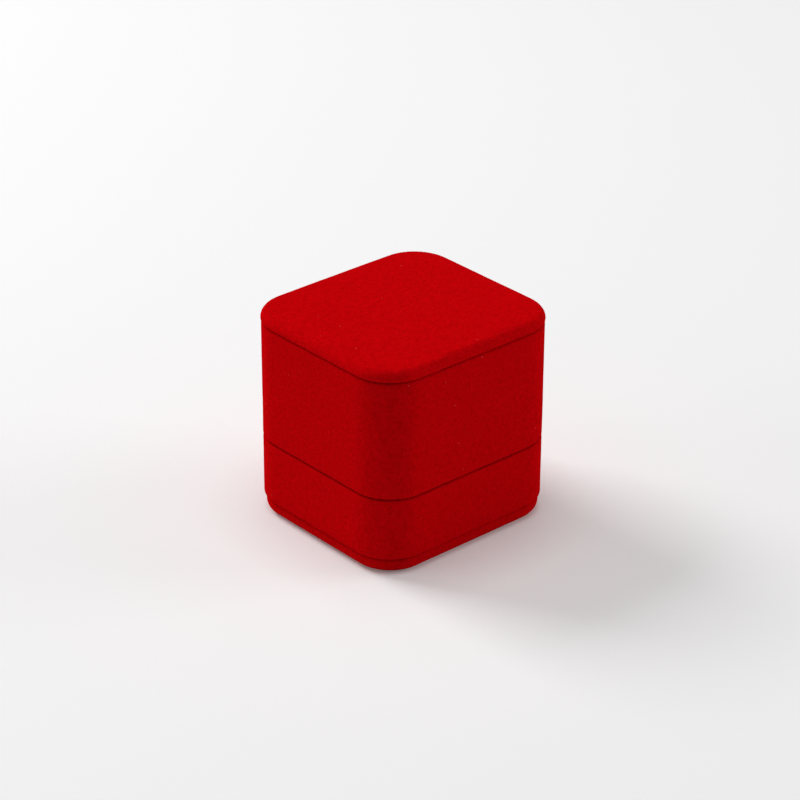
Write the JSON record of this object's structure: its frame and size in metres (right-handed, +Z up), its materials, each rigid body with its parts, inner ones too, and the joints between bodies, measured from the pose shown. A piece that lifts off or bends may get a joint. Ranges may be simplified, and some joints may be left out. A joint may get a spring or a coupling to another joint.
{
  "type": "jewelry gift box",
  "caption": "Fabric-wrapped square ring box with round corners: deep hinged lid, shallow base, and a lift-out slotted ring cushion.",
  "frame": {"origin": "middle of the base's underside, centred on the outer walls, on the surface that the box stands on", "axes": "+Z up out of the closed box; -Y is the front, where the lid opens; +Y is the back, with the hinge; +X to the right seen from the front"},
  "size_m": [0.0606, 0.0575, 0.0579],
  "materials": {
    "outer_velvet": "short-pile suede velvet, matte",
    "lining_velvet": "flocked velvet, matte",
    "cushion_velvet": "short-pile velvet, matte",
    "satin": "satin, soft sheen",
    "foam": "open-cell foam, matte",
    "greyboard": "raw greyboard, matte",
    "moulded_plastic": "moulded, matte",
    "hinge_steel": "nickel-plated stamped steel, satin"
  },
  "bodies": {
    "base": {"bottom_cover": "outer_velvet", "bottom_board": "greyboard", "base_shell": "moulded_plastic", "base_wall_cover": "outer_velvet", "base_lining": "lining_velvet", "base_floor_lining": "lining_velvet", "hinge_base_leaf": "hinge_steel", "hinge_pin": "hinge_steel", "hinge_spring": "hinge_steel", "base_leaf_rivets": "hinge_steel"},
    "ring_cushion": {"insert_board": "greyboard", "insert_front_foam": "foam", "insert_front_cover": "cushion_velvet", "insert_rear_foam": "foam", "insert_rear_cover": "cushion_velvet"},
    "lid": {"lid_shell": "moulded_plastic", "lid_wall_cover": "outer_velvet", "lid_lining": "lining_velvet", "ceiling_board": "greyboard", "ceiling_foam": "foam", "ceiling_cover": "satin", "top_board": "greyboard", "top_foam": "foam", "top_cover": "outer_velvet", "hinge_lid_leaf": "hinge_steel", "lid_leaf_rivets": "hinge_steel"}
  },
  "joints": [
    {"name": "lid_hinge", "type": "hinge", "parent": "base", "child": "lid", "pos_m": [0, 0.02782, 0.0218], "axis": [-1, 0, 0], "range_deg": [0, 100]},
    {"name": "cushion_lift", "type": "slide", "parent": "base", "child": "ring_cushion", "axis": [0, 0, 1], "range_m": [0, 0.016]}
  ]
}
